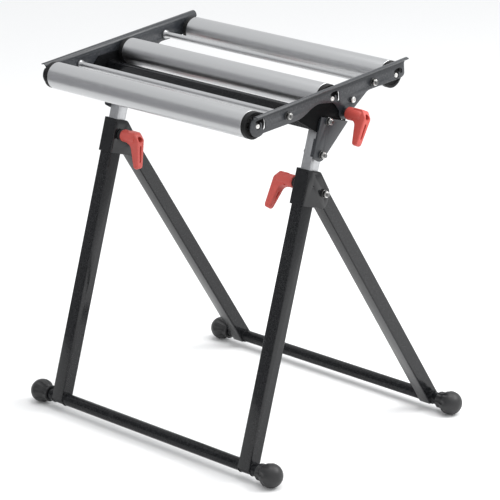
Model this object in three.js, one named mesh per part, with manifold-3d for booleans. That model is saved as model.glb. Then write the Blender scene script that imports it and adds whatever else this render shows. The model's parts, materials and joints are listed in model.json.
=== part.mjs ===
// Folding support stand with a tilting table of three rollers.
// Millimetres, +Z up, +X along the rollers, +Y towards the rear legs.
// The origin is on the floor under the middle of the stand.

import * as THREE from 'three';
import { mergeVertices } from 'three/addons/utils/BufferGeometryUtils.js';
import Module from 'manifold-3d';

const wasm = await Module();
wasm.setup();

// ---------------------------------------------------------------- dimensions

const GAP = 0.3;                   // clearance between pieces that touch

// Frame of square legs and round crossbars
const FOOT_SPREAD = 514;           // front crossbar to rear crossbar, centres
const BAR_HEIGHT = 24;             // crossbar centre above the floor
const BAR_RADIUS = 12.5;
const BAR_WALL = 1.2;
const LEG_X = 269;                 // leg centre from the middle plane
const LEG_WIDTH = 30;
const LEG_WALL = 1.5;
const LEG_BELOW_BAR = 5;           // leg end below the crossbar centre
const FRONT_LEAN = 17.5;           // degrees from upright
const FRONT_LEG_TOP = 578;         // along the leg, from the crossbar centre
const BALL_RADIUS = 24;
const BALL_X = 329;
const BALL_DEPTH = 12;             // how far the crossbar ends inside the ball

// Sleeve bracket at the top of a front leg, with the rear-leg pivot
const SLEEVE_WALL = 3;
const SLEEVE_BOTTOM = 510.5;
const SLEEVE_TOP = 579.5;
const FOLD_U = 34.4;               // fold pivot behind the leg's centre line
const FOLD_V = 539;                // fold pivot along the leg
const CLAMP_V = 550;               // height clamp along the leg

// Telescopic posts
const POST_WIDTH = 25;
const POST_WALL = 1.2;
const POST_BOTTOM = 120;
const POST_TOP = 684;
const HEAD_LOW_V = 612;
const HEAD_PIVOT_V = 676.5;

// Sheet-metal layers outside the post, each from its inner to its outer face
const SECTOR_X = [281.8, 283.9];
const SWIVEL_X = [284.3, 286.4];
const PLATE_X = [286.7, 288.9];
const BRACKET_X = [289.2, 291.4];

// Roller table
const TABLE_Y = -38.2;             // middle roller axis
const TABLE_Z = 708.6;
const TABLE_TILT = 3.56;           // degrees, rear end up
const ROLLER_T = [-199, 0, 177.5]; // roller axes along the table
const ROLLER_NAMES = ['front', 'middle', 'rear'];
const ROLLER_RADIUS = 26.5;
const ROLLER_WALL = 1.2;
const ROLLER_HALF = 268.5;
const CAP_OUTER_X = 279.5;
const AXLE_RADIUS = 5;
const AXLE_HALF = 288.6;
const PLATE_LOW = -16;             // lower edge of a side plate
const PLATE_BEND = 19.2;           // where the flange starts to curve outwards
const PLATE_SLOPE = 0.022;         // rise of that bend along the table
const PLATE_REAR = 200;            // rear edge of a side plate
const FLANGE_RADIUS = 8.5;
const FLANGE_TURN = 0.35;          // radians that the curve goes past level
const FLANGE_OUT = 3;              // flat lip beyond the curve
const FLANGE_FRONT = 10.8;         // flange beyond the front roller's axis
const FLANGE_REAR = 24;            // flange beyond the rear roller's axis
const HOOK_REACH = [19, 19, 16.5];   // far side of each axle slot from its axis
const HOOK_LOW = [-10, -10, 1];      // bottom of the slot's far leg
const TIE_T = { front: -121.5, rear: 111 };
const TIE_N = { front: 0, rear: 4.5 };
const TIE_RADIUS = 6;
const BEAM_T = [-55, -45];
const BEAM_N = [-48, -9];
const BEAM_WALL = 2;
const LOCK_T = 29;                 // tilt lock screw on the side plate
const LOCK_N = -33.7;
const SWIVEL_BOLT_T = 51.5;
const SWIVEL_BOLT_N = -14.6;

// Fasteners
const SHAFT_RADIUS = 4;
const HOLE_RADIUS = 4.3;
const NUT_FLATS = 13;
const NUT_LENGTH = 7;
const WASHER_RADIUS = 8;
const WASHER_LENGTH = 1.6;

// Clamp levers
const LEVER_HUB_RADIUS = 13;
const LEVER_LENGTH = 50;           // along the screw
const HEIGHT_ARM = 62;             // screw axis to the tip of the arm
const TILT_ARM = 57;
const LEVER_ARM_WIDTH = 21;
const LEVER_ARM_DEPTH = 19;
const LEVER_TIP = 7;               // radius of the arm's tip
const HEIGHT_COLLAR = 10;          // length between the lever and the bracket
const TILT_COLLAR = 7;
const COLLAR_RADIUS = { height: 10.5, tilt: 9 };
const HEIGHT_SWING = { left: 16, right: -15 };  // degrees between the arm and its frame
const TILT_SWING = { left: -28, right: -28 };

// ------------------------------------------------------------------ materials

function paint(colour, roughness, metalness) {
  return new THREE.MeshStandardMaterial({ color: colour, roughness, metalness });
}

const BLACK_PAINT = paint(0x2b2d2f, 0.38, 0.5);
const GREY_PAINT = paint(0x5a5e61, 0.42, 0.5);
const BLACK_PLASTIC = paint(0x1b1c1d, 0.55, 0);
const RED_PLASTIC = paint(0xc8483c, 0.5, 0);
const GALVANISED = paint(0xb5b9bd, 0.4, 0.9);
const BRIGHT_STEEL = paint(0xc9ccce, 0.28, 1);

// ------------------------------------------------------------- solid geometry

function toSolid(geometry) {
  const bare = geometry.clone();
  bare.deleteAttribute('normal');
  bare.deleteAttribute('uv');
  const merged = mergeVertices(bare, 1e-4);
  return new wasm.Manifold(new wasm.Mesh({
    numProp: 3,
    vertProperties: new Float32Array(merged.attributes.position.array),
    triVerts: new Uint32Array(merged.index.array),
  }));
}

function toGeometry(solid) {
  const mesh = solid.getMesh();
  const geometry = new THREE.BufferGeometry();
  geometry.setAttribute('position', new THREE.BufferAttribute(new Float32Array(mesh.vertProperties), 3));
  geometry.setIndex(new THREE.BufferAttribute(new Uint32Array(mesh.triVerts), 1));
  geometry.computeVertexNormals();
  return geometry;
}

function join(...geometries) {
  const solids = geometries.map(toSolid);
  return toGeometry(solids.reduce((sum, next) => sum.add(next)));
}

function cut(geometry, ...tools) {
  const start = toSolid(geometry);
  return toGeometry(tools.map(toSolid).reduce((rest, tool) => rest.subtract(tool), start));
}

// Box between two corners
function box(x0, x1, y0, y1, z0, z1) {
  const geometry = new THREE.BoxGeometry(x1 - x0, y1 - y0, z1 - z0);
  return geometry.translate((x0 + x1) / 2, (y0 + y1) / 2, (z0 + z1) / 2);
}

// Cylinder along X, or a hexagonal bar with six segments
function rodX(radius, x0, x1, y, z, segments = 18) {
  const geometry = new THREE.CylinderGeometry(radius, radius, Math.abs(x1 - x0), segments);
  geometry.rotateZ(Math.PI / 2);
  return geometry.translate((x0 + x1) / 2, y, z);
}

function hexX(flats, x0, x1, y, z) {
  return rodX(flats / Math.sqrt(3), x0, x1, y, z, 6);
}

// Solid of revolution about X from [x, radius] points that run towards +X
function turnX(points, y, z, segments = 20) {
  const profile = points.map(([x, radius]) => new THREE.Vector2(radius, x));
  const geometry = new THREE.LatheGeometry(profile, segments);
  geometry.rotateZ(-Math.PI / 2);
  return geometry.translate(0, y, z);
}

// Flat plate: a shape drawn in (y, z), from side * x0 to side * x1
function plateX(shape, [x0, x1], side, curveSegments = 5) {
  const geometry = new THREE.ExtrudeGeometry(shape, {
    depth: x1 - x0, bevelEnabled: false, curveSegments,
  });
  const turn = new THREE.Matrix4().makeBasis(
    new THREE.Vector3(0, 1, 0), new THREE.Vector3(0, 0, 1), new THREE.Vector3(1, 0, 0));
  geometry.applyMatrix4(turn);
  return geometry.translate(side > 0 ? x0 : -x1, 0, 0);
}

// Square tube along Z, centred on the axis
function squareTube(width, wall, z0, z1) {
  const half = width / 2;
  const bore = half - wall;
  const outside = box(-half, half, -half, half, z0, z1);
  return cut(outside, box(-bore, bore, -bore, bore, z0 - 1, z1 + 1));
}

// ------------------------------------------------------------- nested groups

const stand = new THREE.Group();
const SIDES = [['left', -1], ['right', 1]];

function turnedGroup(x, y, z, degrees) {
  const group = new THREE.Group();
  group.position.set(x, y, z);
  group.rotation.x = THREE.MathUtils.degToRad(degrees);
  stand.add(group);
  return group;
}

function add(group, name, geometry, material) {
  const mesh = new THREE.Mesh(geometry, material);
  mesh.name = name;
  group.add(mesh);
  return mesh;
}

// A point given along (y, z) in one turned group, in another turned group
function carry(from, to, y, z) {
  from.updateMatrixWorld(true);
  to.updateMatrixWorld(true);
  const point = new THREE.Vector3(0, y, z).applyMatrix4(from.matrixWorld);
  to.worldToLocal(point);
  return [point.y, point.z];
}

const frontY = -FOOT_SPREAD / 2;
const rearY = FOOT_SPREAD / 2;

// One front-leg frame serves both sides: y runs back from the leg, z runs up it
const legFrame = turnedGroup(0, frontY, BAR_HEIGHT, -FRONT_LEAN);

// The rear legs run from the rear crossbar up to the fold pivot
legFrame.updateMatrixWorld(true);
const foldWorld = new THREE.Vector3(0, FOLD_U, FOLD_V).applyMatrix4(legFrame.matrixWorld);
const rearRun = rearY - foldWorld.y;
const rearRise = foldWorld.z - BAR_HEIGHT;
const rearLength = Math.hypot(rearRun, rearRise);
const rearLean = THREE.MathUtils.radToDeg(Math.atan2(rearRun, rearRise));
const rearFrame = turnedGroup(0, rearY, BAR_HEIGHT, rearLean);

// The table frame has its origin on the middle roller axis
const tableFrame = turnedGroup(0, TABLE_Y, TABLE_Z, TABLE_TILT);
const [pivotT, pivotN] = carry(legFrame, tableFrame, 0, HEAD_PIVOT_V);

// ------------------------------------------------------------------ fasteners

// Washer and locking nut outside a plate, facing away from the middle plane
function nutParts(x, y, z, side) {
  const washerEnd = x + side * WASHER_LENGTH;
  const nutEnd = washerEnd + side * NUT_LENGTH;
  return [
    rodX(WASHER_RADIUS, x, washerEnd, y, z, 16),
    hexX(NUT_FLATS, washerEnd - side * 0.2, nutEnd, y, z),
  ];
}

// Bolt along X with its hexagon head at xHead and its nut at xNut
function boltX(xHead, xNut, y, z) {
  const side = Math.sign(xNut - xHead);
  const headEnd = xHead - side * 5.3;
  return join(
    hexX(NUT_FLATS, headEnd, xHead, y, z),
    rodX(SHAFT_RADIUS, headEnd, xNut + side * (NUT_LENGTH + 5), y, z, 12),
    ...nutParts(xNut, y, z, side));
}

// --------------------------------------------------------------- clamp levers

// Lever with its screw axis on +X from the origin and its arm hanging down -Z
function leverBody(length) {
  const half = LEVER_ARM_DEPTH / 2;
  const inner = LEVER_LENGTH - LEVER_ARM_WIDTH;
  const tip = LEVER_TIP;
  const outline = new THREE.Shape();
  outline.moveTo(inner - 8, LEVER_HUB_RADIUS - 2);
  outline.lineTo(LEVER_LENGTH - 10, LEVER_HUB_RADIUS - 1);
  outline.quadraticCurveTo(LEVER_LENGTH, LEVER_HUB_RADIUS - 2, LEVER_LENGTH, 2);
  outline.lineTo(LEVER_LENGTH - 3, tip - length);
  outline.absarc(LEVER_LENGTH - 3 - tip, tip - length, tip, 0, -Math.PI, true);
  outline.lineTo(inner, -LEVER_HUB_RADIUS - 6);
  outline.quadraticCurveTo(inner, -LEVER_HUB_RADIUS + 2, inner - 8, -LEVER_HUB_RADIUS + 2);
  outline.closePath();
  const arm = new THREE.ExtrudeGeometry(outline, {
    depth: LEVER_ARM_DEPTH, bevelEnabled: false, curveSegments: 4,
  });
  arm.rotateX(Math.PI / 2);
  arm.translate(0, half, 0);
  const hub = rodX(LEVER_HUB_RADIUS, 0, LEVER_LENGTH - 3, 0, 0);
  const recess = rodX(7, LEVER_LENGTH - 9, LEVER_LENGTH + 1, 0, 0, 16);
  const bore = rodX(HOLE_RADIUS, -1, 22, 0, 0, 12);
  return cut(join(arm, hub), recess, bore);
}

// Screw with its collar; its shaft runs from -reach to inside the lever
function screwBody(reach, collar, radius) {
  return join(
    rodX(SHAFT_RADIUS, -reach, 21, 0, 0, 12),
    rodX(radius, -GAP - collar, -GAP, 0, 0, 16));
}

// A lever and its screw, at x on a clamp axis, pointing to +X or -X
function addClamp(group, name, x, y, z, direction, swing, arm, screw) {
  const clamp = new THREE.Group();
  clamp.position.set(x, y, z);
  clamp.rotation.set(THREE.MathUtils.degToRad(swing), 0, direction > 0 ? 0 : Math.PI);
  group.add(clamp);
  add(clamp, `${name}_lever`, leverBody(arm), RED_PLASTIC);
  add(clamp, `${name}_screw`, screw, BLACK_PLASTIC);
}

// --------------------------------------------------------- crossbars and feet

// Round tube along X
function crossbar() {
  const half = BALL_X - BALL_DEPTH;
  const tube = rodX(BAR_RADIUS, -half, half, 0, 0, 24);
  return cut(tube, rodX(BAR_RADIUS - BAR_WALL, -half - 1, half + 1, 0, 0, 16));
}

// Ball foot pushed over the end of a crossbar, with a collar on its inner side
function ballFoot(side) {
  const bore = BAR_RADIUS + 0.4;
  const boreEnd = BALL_X - BALL_DEPTH + GAP;
  const collar = 16.5;
  const points = [[301, bore], [301, collar], [306, collar]];
  const first = Math.asin(collar / BALL_RADIUS);
  const steps = 6;
  for (let i = 0; i <= steps; i += 1) {
    const angle = first + (Math.PI - first) * (i / steps);
    const radius = i === steps ? 0 : BALL_RADIUS * Math.sin(angle);
    points.push([BALL_X - BALL_RADIUS * Math.cos(angle), radius]);
  }
  points.push([boreEnd, 0], [boreEnd, bore], [301, bore]);
  const foot = turnX(points, 0, 0, 16);
  return side > 0 ? foot : foot.rotateZ(Math.PI);
}

// ---------------------------------------------------------------- front frame

function frontLeg(side) {
  const tube = squareTube(LEG_WIDTH, LEG_WALL, -LEG_BELOW_BAR, FRONT_LEG_TOP);
  const barCut = rodX(BAR_RADIUS + GAP, -LEG_WIDTH, LEG_WIDTH, 0, 0, 20);
  const clampHole = rodX(HOLE_RADIUS, -side * LEG_WIDTH, 0, 0, CLAMP_V, 12);
  return cut(tube, barCut, clampHole).translate(side * LEG_X, 0, 0);
}

// Side ear of a sleeve bracket, drawn in the leg frame
function earShape() {
  const front = -LEG_WIDTH / 2 - GAP - SLEEVE_WALL;
  const shape = new THREE.Shape();
  shape.moveTo(front, SLEEVE_BOTTOM);
  shape.lineTo(FOLD_U + 4, SLEEVE_BOTTOM);
  shape.quadraticCurveTo(FOLD_U + 11, SLEEVE_BOTTOM, FOLD_U + 14, SLEEVE_BOTTOM + 13);
  shape.quadraticCurveTo(FOLD_U + 17, FOLD_V + 4, FOLD_U + 11, FOLD_V + 10);
  shape.lineTo(16, SLEEVE_TOP - 3);
  shape.quadraticCurveTo(13, SLEEVE_TOP, 8, SLEEVE_TOP);
  shape.lineTo(front, SLEEVE_TOP);
  shape.closePath();
  return shape;
}

// U-shaped bracket wrapped round the leg's front, open to the rear
function sleeveBracket(side) {
  const inside = LEG_WIDTH / 2 + GAP;
  const outside = inside + SLEEVE_WALL;
  const block = plateX(earShape(), [-outside, outside], 1);
  const room = box(-inside, inside, -inside, 80, SLEEVE_BOTTOM - 1, SLEEVE_TOP + 1);
  const pivotHole = rodX(HOLE_RADIUS, -30, 30, FOLD_U, FOLD_V, 12);
  const clampHole = rodX(HOLE_RADIUS, -side * 30, 0, 0, CLAMP_V, 12);
  return cut(block, room, pivotHole, clampHole).translate(side * LEG_X, 0, 0);
}

function buildFrontFrame() {
  add(legFrame, 'front_crossbar', crossbar(), BLACK_PAINT);
  const earFace = LEG_WIDTH / 2 + GAP + SLEEVE_WALL + GAP;
  for (const [name, side] of SIDES) {
    add(legFrame, `front_leg_${name}`, frontLeg(side), BLACK_PAINT);
    add(legFrame, `sleeve_bracket_${name}`, sleeveBracket(side), BLACK_PAINT);
    add(legFrame, `front_foot_${name}`, ballFoot(side), BLACK_PLASTIC);
    const head = side * (LEG_X - earFace);
    const nut = side * (LEG_X + earFace);
    add(legFrame, `fold_bolt_${name}`, boltX(head, nut, FOLD_U, FOLD_V), BRIGHT_STEEL);
    // the clamp screw presses the post from the stand's inner side
    const clampX = side * (LEG_X - earFace - HEIGHT_COLLAR - GAP);
    const reach = earFace + HEIGHT_COLLAR - POST_WIDTH / 2;
    const screw = screwBody(reach, HEIGHT_COLLAR, COLLAR_RADIUS.height);
    const swing = HEIGHT_SWING[name];
    addClamp(legFrame, `height_${name}`, clampX, 0, CLAMP_V, -side, swing, HEIGHT_ARM, screw);
  }
}

// ----------------------------------------------------------------- rear frame

function rearLeg(side) {
  const half = LEG_WIDTH / 2;
  const bore = half - LEG_WALL;
  const outside = join(
    box(-half, half, -half, half, -LEG_BELOW_BAR, rearLength),
    rodX(half, -half, half, 0, rearLength, 20));
  return cut(
    outside,
    box(-bore, bore, -bore, bore, -LEG_BELOW_BAR - 1, rearLength + LEG_WIDTH),
    rodX(BAR_RADIUS + GAP, -LEG_WIDTH, LEG_WIDTH, 0, 0, 20),
    rodX(HOLE_RADIUS, -LEG_WIDTH, LEG_WIDTH, 0, rearLength, 12),
  ).translate(side * LEG_X, 0, 0);
}

function buildRearFrame() {
  add(rearFrame, 'rear_crossbar', crossbar(), BLACK_PAINT);
  for (const [name, side] of SIDES) {
    add(rearFrame, `rear_leg_${name}`, rearLeg(side), BLACK_PAINT);
    add(rearFrame, `rear_foot_${name}`, ballFoot(side), BLACK_PLASTIC);
  }
}

// --------------------------------------------------------- posts and brackets

function post(side) {
  const tube = squareTube(POST_WIDTH, POST_WALL, POST_BOTTOM, POST_TOP);
  return cut(
    tube,
    rodX(HOLE_RADIUS, -20, 20, 0, HEAD_LOW_V, 12),
    rodX(HOLE_RADIUS, -20, 20, 0, HEAD_PIVOT_V, 12),
  ).translate(side * LEG_X, 0, 0);
}

// Three-cornered plate bolted to the outside of a post, with a lip down its front
function headBracket(side) {
  const front = -21;
  const top = HEAD_PIVOT_V + 5.7;
  const corner = 55;
  const round = 14;
  const shape = new THREE.Shape();
  shape.moveTo(front, top - 3);
  shape.lineTo(front, HEAD_LOW_V - 7);
  shape.quadraticCurveTo(front + 1, HEAD_LOW_V - 10, front + 6, HEAD_LOW_V - 11);
  shape.lineTo(-6, HEAD_LOW_V - round + 0.6);
  shape.quadraticCurveTo(6, HEAD_LOW_V - round - 1, 11, HEAD_LOW_V - 3);
  shape.lineTo(corner - 2, top - 3);
  shape.quadraticCurveTo(corner, top, corner - 3, top);
  shape.lineTo(front + 3, top);
  shape.quadraticCurveTo(front, top, front, top - 3);
  const plate = plateX(shape, BRACKET_X, side, 4);
  // the front lip is deep below the swivel plate and shallow beside it
  const lip = (edge, low, high) => {
    const ends = [side * edge, side * (BRACKET_X[1] - 0.5)].sort((a, b) => a - b);
    return box(...ends, front, front + 2.2, low, high);
  };
  const deep = lip(SECTOR_X[0] + 1.2, HEAD_LOW_V - 7, HEAD_LOW_V + 28);
  const shallow = lip(PLATE_X[0] + 0.2, HEAD_LOW_V + 27, top - 3);
  return cut(
    join(plate, deep, shallow),
    rodX(HOLE_RADIUS, side * 280, side * 300, 0, HEAD_LOW_V, 12),
    rodX(HOLE_RADIUS, side * 280, side * 300, 0, HEAD_PIVOT_V, 12));
}

// Slotted quadrant fixed to the post, which the tilt lock clamps
function tiltSector(side, lockU, lockV) {
  const reach = Math.hypot(lockU, lockV - HEAD_PIVOT_V);
  const rest = Math.atan2(lockV - HEAD_PIVOT_V, lockU);
  const down = rest - THREE.MathUtils.degToRad(13);
  const up = rest + THREE.MathUtils.degToRad(16);
  const margin = 0.14;
  const width = 5;
  const shape = new THREE.Shape();
  shape.moveTo(-11, HEAD_PIVOT_V - 16);
  shape.lineTo(14, HEAD_PIVOT_V - 16);
  shape.absarc(0, HEAD_PIVOT_V, reach + 9, down - margin, up + margin, false);
  shape.lineTo(10, HEAD_PIVOT_V + 9);
  shape.lineTo(-11, HEAD_PIVOT_V + 7);
  shape.closePath();
  const slot = new THREE.Path();
  const bend = (angle, radius) => [radius * Math.cos(angle), HEAD_PIVOT_V + radius * Math.sin(angle)];
  slot.moveTo(...bend(down, reach + width));
  slot.absarc(0, HEAD_PIVOT_V, reach + width, down, up, false);
  slot.absarc(...bend(up, reach), width, up, up + Math.PI, false);
  slot.absarc(0, HEAD_PIVOT_V, reach - width, up, down, true);
  slot.absarc(...bend(down, reach), width, down + Math.PI, down + 2 * Math.PI, false);
  shape.holes.push(slot);
  const plate = plateX(shape, SECTOR_X, side, 6);
  return cut(plate, rodX(HOLE_RADIUS, side * 280, side * 300, 0, HEAD_PIVOT_V, 12));
}

function bracketSpacer(side) {
  const inner = side * (LEG_X + POST_WIDTH / 2 + GAP);
  const outer = side * (BRACKET_X[0] - GAP);
  const tube = rodX(8, inner, outer, 0, HEAD_LOW_V, 16);
  return cut(tube, rodX(HOLE_RADIUS, side * 280, side * 300, 0, HEAD_LOW_V, 12));
}

// Pivot bolt with a shoulder that fills the opening of the side plate
function pivotBolt(side) {
  const head = side * (LEG_X - POST_WIDTH / 2 - GAP);
  const nut = side * (BRACKET_X[1] + GAP);
  const shoulder = rodX(7, side * PLATE_X[0], side * (BRACKET_X[0] - GAP), 0, HEAD_PIVOT_V, 12);
  return join(boltX(head, nut, 0, HEAD_PIVOT_V), shoulder);
}

function buildPosts() {
  const [lockU, lockV] = carry(tableFrame, legFrame, LOCK_T, LOCK_N);
  for (const [name, side] of SIDES) {
    add(legFrame, `post_${name}`, post(side), GALVANISED);
    add(legFrame, `head_bracket_${name}`, headBracket(side), GREY_PAINT);
    add(legFrame, `tilt_sector_${name}`, tiltSector(side, lockU, lockV), BLACK_PAINT);
    add(legFrame, `bracket_spacer_${name}`, bracketSpacer(side), BRIGHT_STEEL);
    add(legFrame, `head_pivot_bolt_${name}`, pivotBolt(side), BRIGHT_STEEL);
    const head = side * (LEG_X - POST_WIDTH / 2 - GAP);
    const nut = side * (BRACKET_X[1] + GAP);
    add(legFrame, `head_lower_bolt_${name}`, boltX(head, nut, 0, HEAD_LOW_V), BRIGHT_STEEL);
  }
}

// ---------------------------------------------------------------------- table

// Hook-shaped slot that an axle end drops into: up the far leg, over, and down
function hookSlot(t, reach, low) {
  const path = new THREE.Path();
  const seat = AXLE_RADIUS + 1.5;
  const tongue = seat + 3.4;
  const leg = (reach - tongue) / 2;
  path.absarc(t, 0, seat, Math.PI, 2 * Math.PI, false);
  path.lineTo(t + seat, 4.5);
  path.lineTo(t + tongue, 5);
  path.absarc(t + tongue + leg, leg + low, leg, Math.PI, 2 * Math.PI, false);
  path.lineTo(t + reach, 5);
  path.quadraticCurveTo(t + reach, 13.6, t + 9, 13.6);
  path.lineTo(t + 3, 13.6);
  path.quadraticCurveTo(t - seat - 1, 13, t - seat, 5);
  path.closePath();
  return path;
}

// Side plate outline in the table frame, below the flange
function bendAt(t) {
  return PLATE_BEND + PLATE_SLOPE * t;
}

function sidePlateShape() {
  const [frontT] = ROLLER_T;
  const frontLug = 20;
  const rearLow = -8;
  const lobe = 14;
  const shape = new THREE.Shape();
  const frontBend = bendAt(frontT - 15);
  const frontTop = Math.PI - Math.asin(frontBend / frontLug);
  const frontLow = 2 * Math.PI - Math.asin(-PLATE_LOW / frontLug);
  shape.absarc(frontT, 0, frontLug, frontTop, frontLow, false);
  shape.lineTo(-92, PLATE_LOW);
  shape.splineThru([
    new THREE.Vector2(-76, -11.5),
    new THREE.Vector2(-58, -4),
    new THREE.Vector2(-38, 0),
    new THREE.Vector2(-14, -4.5),
    new THREE.Vector2(4, -10.5),
    new THREE.Vector2(LOCK_T - lobe + 1, LOCK_N + 6),
  ]);
  shape.absarc(LOCK_T, LOCK_N, lobe, Math.PI * 0.88, Math.PI * 1.79, false);
  shape.lineTo(91, rearLow - 3);
  shape.quadraticCurveTo(95, rearLow - 0.5, 101, rearLow);
  shape.lineTo(184, rearLow);
  shape.quadraticCurveTo(PLATE_REAR - 1, rearLow + 1, PLATE_REAR, 0);
  shape.lineTo(PLATE_REAR, bendAt(PLATE_REAR));
  shape.closePath();
  ROLLER_T.forEach((t, index) => {
    shape.holes.push(hookSlot(t, HOOK_REACH[index], HOOK_LOW[index]));
  });
  return shape;
}

// Flange that curves up and outwards along the top of a side plate
function flange(side) {
  const wall = PLATE_X[1] - PLATE_X[0];
  const bendX = PLATE_X[1] + FLANGE_RADIUS - wall;
  const outer = FLANGE_RADIUS;
  const inner = FLANGE_RADIUS - wall;
  const past = Math.PI / 2 - FLANGE_TURN;
  const outX = FLANGE_OUT * Math.cos(FLANGE_TURN);
  const outZ = -FLANGE_OUT * Math.sin(FLANGE_TURN);
  const section = new THREE.Shape();
  section.moveTo(PLATE_X[0], -3);
  section.lineTo(PLATE_X[1], -3);
  section.absarc(bendX, 0, inner, Math.PI, past, true);
  section.lineTo(bendX + inner * Math.cos(past) + outX, inner * Math.sin(past) + outZ);
  section.lineTo(bendX + outer * Math.cos(past) + outX, outer * Math.sin(past) + outZ);
  section.absarc(bendX, 0, outer, past, Math.PI, false);
  section.closePath();
  const start = ROLLER_T[0] - FLANGE_FRONT;
  const end = ROLLER_T[2] + FLANGE_REAR;
  const strip = new THREE.ExtrudeGeometry(section, {
    depth: end - start, bevelEnabled: false, curveSegments: 5,
  });
  // section x stays x, section y becomes z, and the strip runs along y
  strip.rotateX(Math.PI / 2);
  strip.translate(0, end, 0);
  if (side < 0) strip.rotateZ(Math.PI).translate(0, start + end, 0);
  return strip.rotateX(Math.atan(PLATE_SLOPE)).translate(0, 0, PLATE_BEND);
}

function sidePlate(side) {
  const plate = plateX(sidePlateShape(), PLATE_X, side, 4);
  const holeAt = (t, n) => rodX(HOLE_RADIUS, side * 280, side * 300, t, n, 12);
  return cut(
    join(plate, flange(side)),
    holeAt(TIE_T.front, TIE_N.front),
    holeAt(TIE_T.rear, TIE_N.rear),
    holeAt(SWIVEL_BOLT_T, SWIVEL_BOLT_N),
    holeAt(LOCK_T, LOCK_N));
}

// Plate behind the arch of the side plate, which turns on the head pivot bolt
function swivelPlate(side) {
  const round = 22;
  const shape = new THREE.Shape();
  shape.moveTo(-96.5, PLATE_LOW);
  shape.lineTo(-46, -53);
  shape.quadraticCurveTo(pivotT - 18, pivotN - round - 1, pivotT, pivotN - round);
  shape.quadraticCurveTo(pivotT + 16, pivotN - round, pivotT + 22, pivotN - 8);
  shape.lineTo(LOCK_T - 6, LOCK_N - 12);
  shape.absarc(LOCK_T, LOCK_N, 13, Math.PI * 1.35, Math.PI * 1.75, false);
  shape.lineTo(SWIVEL_BOLT_T + 10, SWIVEL_BOLT_N - 8);
  shape.lineTo(SWIVEL_BOLT_T + 10, SWIVEL_BOLT_N + 6);
  shape.lineTo(-8, SWIVEL_BOLT_N + 6);
  shape.lineTo(-16, 5);
  shape.lineTo(-74, 5);
  shape.closePath();
  const plate = plateX(shape, SWIVEL_X, side, 4);
  const holeAt = (t, n) => rodX(HOLE_RADIUS, side * 280, side * 300, t, n, 12);
  return cut(
    plate,
    holeAt(pivotT, pivotN),
    holeAt(LOCK_T, LOCK_N),
    holeAt(SWIVEL_BOLT_T, SWIVEL_BOLT_N));
}

// Channel between the swivel plates, open to the rear
function crossBeam() {
  const half = SWIVEL_X[0] - GAP;
  const [t0, t1] = BEAM_T;
  const [n0, n1] = BEAM_N;
  const outside = box(-half, half, t0, t1, n0, n1);
  return cut(outside, box(
    -half - 1, half + 1, t0 + BEAM_WALL, t1 + 1, n0 + BEAM_WALL, n1 - BEAM_WALL));
}

// Spacer rod with a flared shoulder and a threaded stud at each end
function tieRod(t, n) {
  const face = PLATE_X[0] - GAP;
  const stud = PLATE_X[1] + GAP + WASHER_LENGTH + NUT_LENGTH + 2.5;
  const half = [
    [face - 11, TIE_RADIUS], [face - 3, 9], [face, 9],
    [face, SHAFT_RADIUS], [stud, SHAFT_RADIUS], [stud, 0],
  ];
  const mirrored = half.map(([x, radius]) => [-x, radius]).reverse();
  return turnX([...mirrored, ...half], t, n, 16);
}

function tieNut(side, t, n) {
  const parts = nutParts(side * (PLATE_X[1] + GAP), t, n, side);
  return cut(join(...parts), rodX(HOLE_RADIUS, side * 280, side * 310, t, n, 12));
}

// Short bolt that holds the swivel plate to the side plate
function swivelBolt(side) {
  const inner = side * (SWIVEL_X[0] - GAP);
  const outer = side * (PLATE_X[1] + GAP);
  return join(
    hexX(NUT_FLATS, inner, inner - side * 3.5, SWIVEL_BOLT_T, SWIVEL_BOLT_N),
    rodX(SHAFT_RADIUS, inner - side * 3.5, outer + side * 1, SWIVEL_BOLT_T, SWIVEL_BOLT_N, 12),
    rodX(6, outer, outer + side * 5.5, SWIVEL_BOLT_T, SWIVEL_BOLT_N, 16));
}

function axle(t) {
  const chamfer = 1;
  return turnX([
    [-AXLE_HALF, 0], [-AXLE_HALF, AXLE_RADIUS - chamfer], [-AXLE_HALF + chamfer, AXLE_RADIUS],
    [AXLE_HALF - chamfer, AXLE_RADIUS], [AXLE_HALF, AXLE_RADIUS - chamfer], [AXLE_HALF, 0],
  ], t, 0, 16);
}

function rollerTube(t) {
  const tube = rodX(ROLLER_RADIUS, -ROLLER_HALF, ROLLER_HALF, t, 0, 32);
  const bore = ROLLER_RADIUS - ROLLER_WALL;
  return cut(tube, rodX(bore, -ROLLER_HALF - 1, ROLLER_HALF + 1, t, 0, 24));
}

// Bearing cap pressed into the end of a roller tube
function rollerCap(side, t) {
  const plug = ROLLER_RADIUS - ROLLER_WALL - 0.4;
  const rim = ROLLER_HALF + GAP;
  const bore = AXLE_RADIUS + 0.4;
  const cap = turnX([
    [rim - 12, bore], [rim - 12, plug], [rim, plug], [rim, ROLLER_RADIUS - 0.2],
    [CAP_OUTER_X, ROLLER_RADIUS - 0.2], [CAP_OUTER_X, 20], [CAP_OUTER_X - 4, 18],
    [CAP_OUTER_X - 4, bore], [rim - 12, bore],
  ], 0, 0);
  return (side > 0 ? cap : cap.rotateZ(Math.PI)).translate(0, t, 0);
}

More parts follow.
